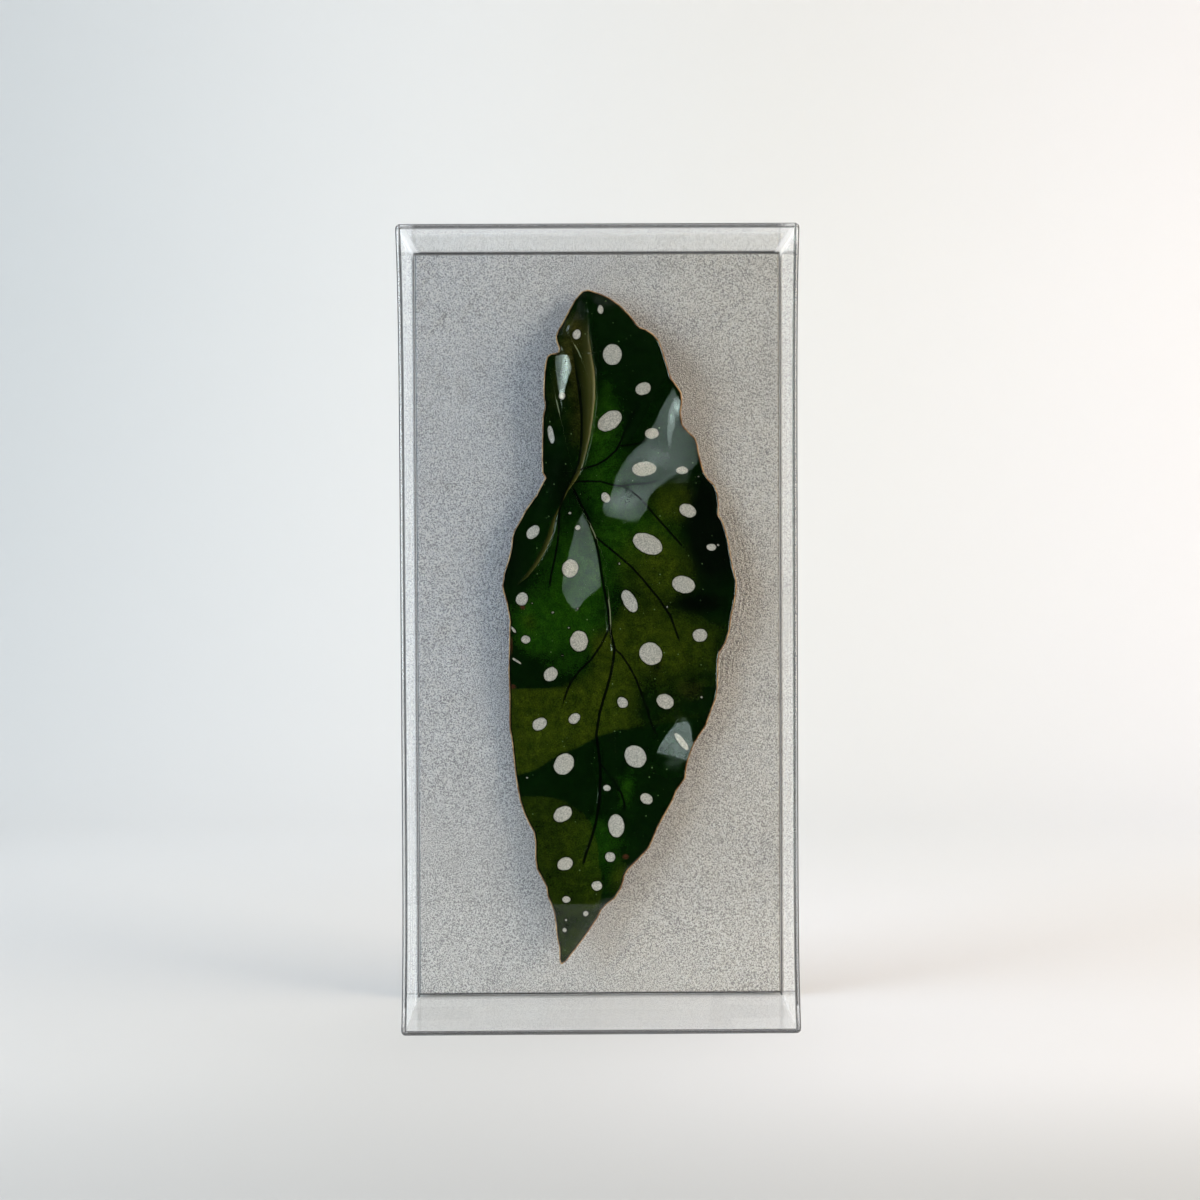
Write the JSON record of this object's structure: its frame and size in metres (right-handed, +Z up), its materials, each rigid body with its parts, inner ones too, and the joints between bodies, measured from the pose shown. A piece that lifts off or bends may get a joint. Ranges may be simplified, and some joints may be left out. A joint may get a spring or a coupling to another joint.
{
  "type": "framed dried leaf",
  "caption": "Dried spotted leaf with a glossy coat, fixed in front of a grey card in an upright clear plastic case.",
  "frame": {"origin": "middle of the case's base, on the surface it stands on", "axes": "+Z up, +Y from the clear front to the card at the back, +X to the right seen from the front"},
  "size_m": [0.124, 0.048, 0.25],
  "materials": {
    "clear_plastic": "clear",
    "grey_card": "matte",
    "coated_leaf": "gloss",
    "dried_glue": "satin"
  },
  "bodies": {
    "root": {"clear_cover": "clear_plastic", "backing_board": "grey_card", "leaf": "coated_leaf", "glue_dot_1": "dried_glue", "glue_dot_2": "dried_glue", "glue_dot_3": "dried_glue"}
  },
  "joints": []
}
